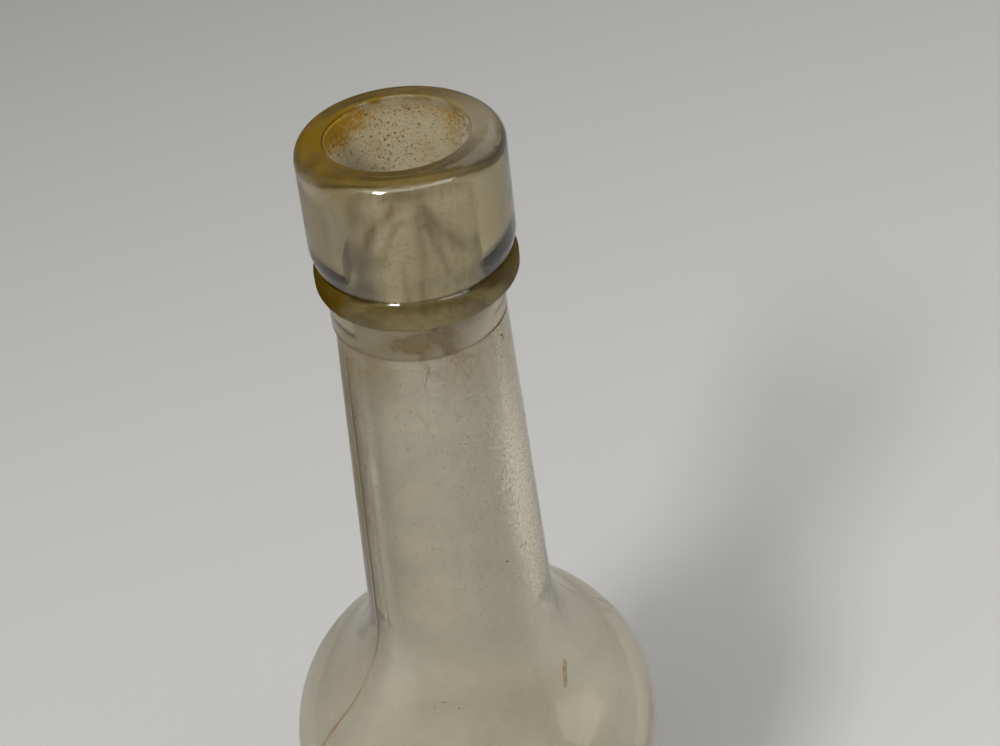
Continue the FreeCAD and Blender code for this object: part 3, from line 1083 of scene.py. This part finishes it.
@dataclass
class ResidueFilm(Turned):
    """Chalky film that dried on the inside of the bore, neck, shoulder and side: a thin shell."""

    name: str = "residue_film"
    node: str = ""
    slot: str = "cork_residue"
    finish: Finish = FilmFinish("dried_residue_film")
    columns: int = 224
    foot_z: float = 18.0 * MM
    below_rim: float = 0.5 * MM
    fine_length: float = 36.0 * MM       # stretch below the rim that has closer rows
    rows: int = 80
    fine_rows: int = 73
    wall_gap: float = 0.06 * MM
    far_side: float = 0.11 * MM

    # Brown runs in the bore, then the blots and branches behind the collar and under it
    RUNS = (
        Streak(((-33.0, 225.0), (-25.4, 228.1), (-3.5, 232.3), (8.9, 231.2), (21.6, 226.9), (35.4, 223.7)),
               0.9, 0.8),
        Streak(((-20.0, 223.5), (-15.0, 227.0), (-5.0, 229.4)), 0.45, 0.6),
        Streak(((11.0, 228.4), (18.0, 224.6), (23.0, 220.5)), 0.45, 0.6),
        Streak(((4.7, 229.9), (5.5, 224.8), (0.8, 218.1)), 0.75, 0.7),
        Streak(((-8.4, 222.5), (-8.0, 218.0)), 0.4, 0.6),
        Streak(((3.5, 220.0), (2.5, 214.5)), 0.35, 0.6),
        Streak(((-23.0, 209.6), (-6.0, 210.3)), 1.15, 1.3),
        Streak(((-12.0, 209.0), (2.0, 209.4)), 0.8, 1.2),
        Streak(((7.0, 211.2), (19.0, 210.2)), 1.1, 1.3),
        Streak(((12.0, 209.8), (20.0, 206.2), (37.0, 204.8)), 0.75, 1.2),
        Streak(((-5.0, 208.6), (-1.0, 205.0), (5.0, 203.6)), 0.6, 0.8),
        Streak(((22.0, 205.8), (27.0, 202.8)), 0.6, 0.8),
    )
    CLOUD = (Patch(12.0, 203.5, 30.0, 4.0, 0.3),)
    # Chalk on the right of the neck is partly a painted highlight, the pale band where the light from the
    # right falls; the patch under the collar is chalk
    CHALK_AND_HIGHLIGHT = (Patch(60.0, 190.0, 16.0, 14.0, 1.2), Patch(-8.0, 205.0, 18.0, 4.0, 0.8))
    # Heights from the rim: blots on the bore's wall, and the stain that soaked in at the mouth
    BLOTS = (Patch(155.0, -8.4, 6.0, 1.1, 0.45), Patch(-151.0, -2.8, 9.0, 1.3, 0.5),
             Patch(-132.0, -3.6, 9.0, 2.2, 0.5), Patch(-163.0, -6.8, 6.0, 1.3, 0.35),
             Patch(128.0, -5.0, 8.0, 2.4, 0.35))
    MOUTH = (Patch(-105.0, -0.8, 36.0, 3.2, 1.7), Patch(98.0, -1.6, 26.0, 3.6, 0.65))

    def outline(self) -> Section:
        """A thin shell that runs up beside the inner wall and back down.

        Each of its two lines is the wall's own line, moved inwards along its normal.

        Returns:
            The closed section.
        """
        wall = BlownBody(self.sizes).section
        inner = (wall.skin == Skin.INSIDE) & (wall.height > self.foot_z)
        line = np.stack([wall.radius[inner], wall.height[inner]], axis=1)[::-1]
        line = np.append(line, [[self.sizes.bore_radius, self.sizes.rim_z - self.below_rim]], axis=0)
        along = np.concatenate([[0.0], np.cumsum(np.linalg.norm(np.diff(line, axis=0), axis=1))])
        fine = along[-1] - self.fine_length
        steps = np.concatenate([np.linspace(0.0, fine, self.rows)[:-1],
                                np.linspace(fine, along[-1], self.fine_rows)])
        line = np.stack([np.interp(steps, along, line[:, 0]), np.interp(steps, along, line[:, 1])], axis=1)
        ahead = np.gradient(line, axis=0)
        inward = np.stack([-ahead[:, 1], ahead[:, 0]], axis=1) / np.linalg.norm(ahead, axis=1)[:, None]
        shell = np.concatenate([line + self.wall_gap * inward, (line + self.far_side * inward)[::-1]])
        return Section(shell[:, 0], shell[:, 1], np.full(len(shell), int(Skin.INSIDE)), True)

    def relief(self) -> np.ndarray:
        """The inner wall's own waves."""
        return self.sizes.inner_waves(self.turn, self.radius, self.height)

    def stains(self) -> dict[str, np.ndarray]:
        """Where the film is thick, brown, streaked, chalky and dull; the chalk on the right of the neck is
        partly a painted highlight.

        In the bore it lies in front, between two wandering edges, and at the back, under a brown tide
        line that hangs lower at the sides. Below the bore it thins towards the foot and at the back.

        Returns:
            Cover by name.
        """
        degrees, level = self.degrees, self.level
        bore_mm, rim = self.sizes.bore_radius / MM, self.sizes.rim_z / MM
        in_bore = smooth(207.0, 213.0, level)
        neck = smooth(128.0, 160.0, level)
        around = degrees % 360.0
        wander = 6.0 * np.sin(level / 2.1) + 4.0 * np.sin(level / 0.9 + 1.0)
        front = smooth(-42.0, -18.0, degrees + wander) * (1.0 - smooth(38.0, 60.0, degrees - wander))
        back = smooth(95.0, 125.0, around) * (1.0 - smooth(235.0, 265.0, around))
        bore = (0.03 + 0.95 * front + 0.8 * back) * (1.0 - smooth(-1.8, -0.5, level - rim))
        below = (0.37 + 0.25 * neck) * (0.6 + 0.4 * smooth(20.0, 100.0, level))
        below = below * (1.0 - 0.4 * smooth(95.0, 140.0, np.abs(degrees)) * (1.0 - neck))
        brown = sum(run.cover(degrees, level, bore_mm) for run in self.RUNS)
        brown = brown + self.spots(self.CLOUD) + self.spots(self.BLOTS, rim)
        depth = 2.5 + 3.5 * np.abs(np.sin(np.radians(degrees)))
        tide = smooth(0.0, 1.0, (level - (rim - 0.6 - depth)) / depth) * back
        mouth = self.spots(self.MOUTH, rim)
        cover = below * (1.0 - in_bore) + bore * in_bore + 0.3 * np.minimum(brown, 1.0) + 0.9 * mouth
        return {"cover": cover,
                "brown": brown + 0.55 * tide + mouth, "streak": smooth(211.5, 215.0, level) * front,
                "chalk_and_highlight": self.spots(self.CHALK_AND_HIGHLIGHT) + 1.8 * in_bore * front, "dull": in_bore * back}


@dataclass
class Crumbs:
    """Dry crumbs of cork or dirt stuck to a wall."""

    name: str
    finish: CrumbFinish
    angle: np.ndarray
    height: np.ndarray
    radius: np.ndarray
    size: np.ndarray
    seed: int
    rings: int = 2
    sides: int = 6
    flatness: float = 0.35

    def build(self) -> bpy.types.Object:
        """Make each crumb a small uneven lump that lies on the wall.

        A lump is a sphere grid whose points are pulled in and out by seeded amounts, flattened along the
        wall's normal and spun on the wall.

        Returns:
            One piece with all the lumps.
        """
        rng = np.random.default_rng(self.seed)
        count = len(self.angle)
        tilt = np.linspace(0.0, math.pi, self.rings + 2)[1:-1, None]
        turn = even_angles(self.sides)
        level = np.broadcast_to(np.cos(tilt), (self.rings, self.sides))
        ball = np.stack([np.sin(tilt) * np.cos(turn), np.sin(tilt) * np.sin(turn), level], axis=2)
        ball = np.concatenate([[[0.0, 0.0, 1.0]], ball.reshape(-1, 3), [[0.0, 0.0, -1.0]]])
        lumps = ball[None] * rng.uniform(0.55, 1.25, (count, len(ball), 1))
        length = self.size * rng.uniform(0.6, 1.5, count)
        lumps = lumps * np.stack([length, self.size, self.size * self.flatness], 1)[:, None, :]
        spin = rng.uniform(0.0, FULL_TURN, count)[:, None]
        along = lumps[:, :, 0] * np.cos(spin) - lumps[:, :, 1] * np.sin(spin)
        up = lumps[:, :, 0] * np.sin(spin) + lumps[:, :, 1] * np.cos(spin)
        reach = self.radius[:, None] + lumps[:, :, 2]
        cos, sin = np.cos(self.angle)[:, None], np.sin(self.angle)[:, None]
        points = np.stack([reach * cos - along * sin, reach * sin + along * cos,
                           self.height[:, None] + up], axis=2)
        pole = np.arange(self.rings + 2) % (self.rings + 1) == 0
        offset = (np.arange(count) * len(ball))[:, None, None]
        # The grid goes down from the top of each lump, so its faces are turned over
        faces = [(block[:, ::-1] + offset).reshape(-1, block.shape[1])
                 for block in turned_faces(pole, self.sides, False)[0]]
        piece = new_piece(self.name, points.reshape(-1, 3), faces)
        self.finish.dress(piece, "cork_residue")
        return piece


def cork_crumbs(sizes: Sizes, body: Section) -> Crumbs:
    """Scatter crumbs over the bore's back wall, and fine ones down the neck between glass and film.

    Args:
        sizes: the shared sizes.
        body: the body's section.

    Returns:
        The crumbs, ready to build.
    """
    rng = np.random.default_rng(11)
    in_bore, in_neck = 4200, 900
    lift = np.repeat([0.12 * MM, 0.055 * MM], [in_bore, in_neck])
    angle = np.concatenate([FRONT + math.pi + rng.normal(0.0, 0.75, in_bore),
                            rng.uniform(0.0, FULL_TURN, in_neck)])
    height = np.concatenate([sizes.rim_z - rng.uniform(1.2, 20.0, in_bore) * MM,
                             sizes.collar_z - rng.triangular(0.0, 8.0, 68.0, in_neck) * MM])
    size = np.concatenate([np.clip(rng.lognormal(math.log(0.054), 0.55, in_bore), 0.03, 0.27),
                           np.clip(rng.lognormal(math.log(0.055), 0.35, in_neck), 0.04, 0.14)]) * MM
    radius = body.radius_at(height, Skin.INSIDE)
    radius += sizes.inner_waves(angle, radius, height) - lift
    cork = CrumbFinish("crumbled_cork", "#967a4e", "#5e482b")
    return Crumbs("cork_crumbs", cork, angle, height, radius, size, seed=12)


def dark_specks(body: Section) -> Crumbs:
    """Grains of dirt stuck to the neck and shoulder: a few that stand out, and fine ones scattered between.

    Args:
        body: the body's section.

    Returns:
        The grains, ready to build.
    """
    # Angle from the front, height and size of each grain that stands out
    large = np.array([(-23.0, 173.3, 0.22), (32.0, 167.9, 0.2), (-9.0, 142.4, 0.24), (3.5, 152.5, 0.14),
                      (59.0, 147.5, 0.16), (-41.0, 160.2, 0.1), (14.0, 188.6, 0.1), (-12.0, 195.4, 0.08),
                      (24.0, 181.1, 0.1), (118.0, 177.0, 0.16), (-140.0, 159.0, 0.18), (171.0, 186.0, 0.14)])
    rng = np.random.default_rng(23)
    fine = 2400
    angle = FRONT + np.radians(np.concatenate([large[:, 0], rng.uniform(-180.0, 180.0, fine)]))
    height = np.concatenate([large[:, 1], rng.triangular(148.0, 194.0, 206.8, fine)]) * MM
    size = np.concatenate([large[:, 2], rng.lognormal(math.log(0.064), 0.32, fine).clip(0.04, 0.16)]) * MM
    grit = CrumbFinish("black_grit", "#4a3a28", "#1f1712")
    return Crumbs("dark_specks", grit, angle, height, body.radius_at(height, Skin.OUTSIDE), size, seed=5)


@dataclass
class Smear:
    """A dried run, a hair or a flake on the outside of the glass: a thin closed strip along a path."""

    name: str
    finish: CrumbFinish
    path: tuple[tuple[float, float], ...]
    half_width: float
    thickness: float
    stations: int = 24
    sides: int = 8

    def build(self, body: Section) -> bpy.types.Object:
        """Sweep a flat ellipse along the path, on the glass.

        At station t the centre lies on the outside at the path's angle and height. The ellipse's long axis
        lies across the path, its short axis along the wall's normal, and both shrink to nothing at the ends
        by (1 - |2t - 1|^6)^0.5.

        Args:
            body: the body's section.

        Returns:
            The strip.
        """
        slope_step = 0.3 * MM
        t = np.linspace(0.0, 1.0, self.stations)
        knots = np.linspace(0.0, 1.0, len(self.path))
        turn = FRONT + np.radians(np.interp(t, knots, [angle for angle, _ in self.path]))
        height = np.interp(t, knots, [level for _, level in self.path]) * MM
        radius, above, below = (body.radius_at(height + up, Skin.OUTSIDE)
                                for up in (0.0, slope_step, -slope_step))
        centre = np.stack([radius * np.cos(turn), radius * np.sin(turn), height], axis=1)
        normal = np.stack([np.cos(turn), np.sin(turn), (below - above) / (2.0 * slope_step)], axis=1)
        normal /= np.linalg.norm(normal, axis=1)[:, None]
        across = np.cross(np.gradient(centre, axis=0), normal)
        across /= np.linalg.norm(across, axis=1)[:, None]
        swell = np.sqrt(1.0 - np.abs(2.0 * t - 1.0) ** 6)[:, None, None]
        around = even_angles(self.sides)[None, :, None]
        rings = centre[:, None] + swell * (self.half_width * np.cos(around) * across[:, None]
                                           + self.thickness * np.sin(around) * normal[:, None])
        points = np.concatenate([rings[0, :1], rings[1:-1].reshape(-1, 3), rings[-1, :1]])
        pole = np.arange(self.stations) % (self.stations - 1) == 0
        piece = new_piece(self.name, points, turned_faces(pole, self.sides, False)[0])
        self.finish.dress(piece, "cork_residue")
        return piece


RUN = CrumbFinish("dried_brown_run", "#a3875c", "#8a6d42", 0.6)
HAIR = CrumbFinish("dark_hair", "#7d6c4c", "#5c4d35")
SMEARS = (
    Smear("shoulder_run", RUN, ((57.0, 141.6), (53.0, 140.6), (47.0, 138.8)), 0.48 * MM, 0.06 * MM),
    Smear("neck_hair", HAIR, ((1.0, 206.9), (-2.0, 205.7), (-3.0, 204.3)), 0.055 * MM, 0.05 * MM),
    Smear("edge_flake", HAIR, ((57.0, 206.4), (61.0, 205.7), (60.0, 204.9)), 0.13 * MM, 0.06 * MM),
)


@dataclass(frozen=True)
class View:
    """The camera: where it stands, how it is turned and its lens."""

    position: Vector = Vector((0.0, -169.423 * MM, 329.562 * MM))
    pitch: float = math.radians(38.534)
    yaw: float = math.radians(3.414)
    roll: float = math.radians(-5.872)
    focal_pixels: float = 1489.09
    sensor: float = 36.0
    nearest: float = 0.01

    def build(self) -> bpy.types.Object:
        """Put the camera in the scene and make it the scene's own.

        Returns:
            The camera.
        """
        level = Vector((math.cos(self.yaw), -math.sin(self.yaw), 0.0))
        forward = Vector((math.sin(self.yaw) * math.cos(self.pitch),
                          math.cos(self.yaw) * math.cos(self.pitch), -math.sin(self.pitch)))
        upright = level.cross(forward)
        right = math.cos(self.roll) * level + math.sin(self.roll) * upright
        up = math.cos(self.roll) * upright - math.sin(self.roll) * level
        lens = bpy.data.cameras.new("photo_view")
        lens.sensor_fit = "HORIZONTAL"
        lens.sensor_width = self.sensor
        lens.lens = self.focal_pixels / IMAGE_WIDTH * self.sensor
        lens.clip_start = self.nearest
        camera = bpy.data.objects.new("photo_view", lens)
        turned = Matrix((right, up, -forward)).transposed().to_4x4()
        camera.matrix_world = Matrix.Translation(self.position) @ turned
        bpy.context.scene.collection.objects.link(camera)
        bpy.context.scene.camera = camera
        return camera


@dataclass(frozen=True)
class Panel:
    """A soft light panel: its direction in degrees, distance and size in metres, and power in watts."""

    name: str
    azimuth: float
    elevation: float
    distance: float
    width: float
    height: float
    power: float
    mirrored: bool = True

    def build(self, target: Vector) -> bpy.types.Object:
        """Hang the panel in its direction from the target, facing it.

        Args:
            target: the point that the panel faces.

        Returns:
            The light.
        """
        turn, rise = math.radians(self.azimuth), math.radians(self.elevation)
        out = Vector((math.sin(turn) * math.cos(rise), -math.cos(turn) * math.cos(rise), math.sin(rise)))
        light = bpy.data.lights.new(self.name, "AREA")
        light.shape = "RECTANGLE"
        light.size, light.size_y = self.width, self.height
        light.energy = self.power
        panel = bpy.data.objects.new(self.name, light)
        panel.visible_glossy = self.mirrored
        panel.location = target + out * self.distance
        panel.rotation_euler = (-out).to_track_quat("-Z", "Y").to_euler()
        bpy.context.scene.collection.objects.link(panel)
        return panel


@dataclass(frozen=True)
class Studio:
    """Plain pale floor, soft panels that face the bottle's neck, and an even grey room."""

    floor_half: float = 3.0
    floor_lines: int = 9
    floor_finish: PaperFinish = PaperFinish("pale_matte_paper", "#c6c5c2")
    room_colour: str = "#c9c9c6"
    room_strength: float = 0.17
    target: Vector = Vector((0.0, 0.0, 0.2))
    panels: tuple[Panel, ...] = (
        Panel("key_panel", -32.0, 42.0, 1.1, 0.2, 0.2, 8.5),
        Panel("front_strip", 4.0, 56.0, 1.0, 1.6, 0.3, 6.5),
        Panel("side_fill", 82.0, 27.0, 1.3, 0.8, 0.6, 6.0, False),
        Panel("back_glow", 138.0, 42.0, 1.3, 1.0, 0.8, 2.6),
    )

    def build(self) -> None:
        """Lay the floor, hang the lights and set the room's light."""
        side = np.linspace(-self.floor_half, self.floor_half, self.floor_lines)
        x, y = np.meshgrid(side, side)
        number = np.arange(x.size).reshape(x.shape)
        quads = np.stack([number[:-1, :-1], number[:-1, 1:], number[1:, 1:], number[1:, :-1]], axis=2)
        points = np.stack([x, y, np.zeros_like(x)], axis=2).reshape(-1, 3)
        floor = new_piece("studio_floor", points, [quads.reshape(-1, 4)])
        floor.data.materials.append(self.floor_finish.material())
        for panel in self.panels:
            panel.build(self.target)
        world = bpy.data.worlds.new("room")
        tree = empty_tree(world)
        room = add_node(tree, "Background", {"Color": linear(self.room_colour),
                                             "Strength": self.room_strength})
        add_node(tree, "OutputWorld", {"Surface": room})
        bpy.context.scene.world = world


def main() -> None:
    """Build the bottle's pieces and the studio, and report each."""
    logging.basicConfig(level=logging.INFO, format="%(message)s")
    scene = bpy.context.scene
    scene.view_settings.view_transform = "Standard"
    scene.cycles.max_bounces = LIGHT_BOUNCES
    scene.cycles.transmission_bounces = LIGHT_BOUNCES
    scene.cycles.transparent_max_bounces = CLEAR_BOUNCES
    sizes = Sizes.from_frame()
    pieces = [part(sizes).build() for part in (BlownBody, NeckCollar, StringRing, LipBand, ResidueFilm)]
    body = BlownBody(sizes).section
    pieces += [smear.build(body) for smear in SMEARS]
    pieces += [cork_crumbs(sizes, body).build(), dark_specks(body).build()]
    for piece in pieces:
        log.info("%s: %d faces", piece.name, len(piece.data.polygons))
    Studio().build()
    View().build()


if __name__ == "__main__":
    main()
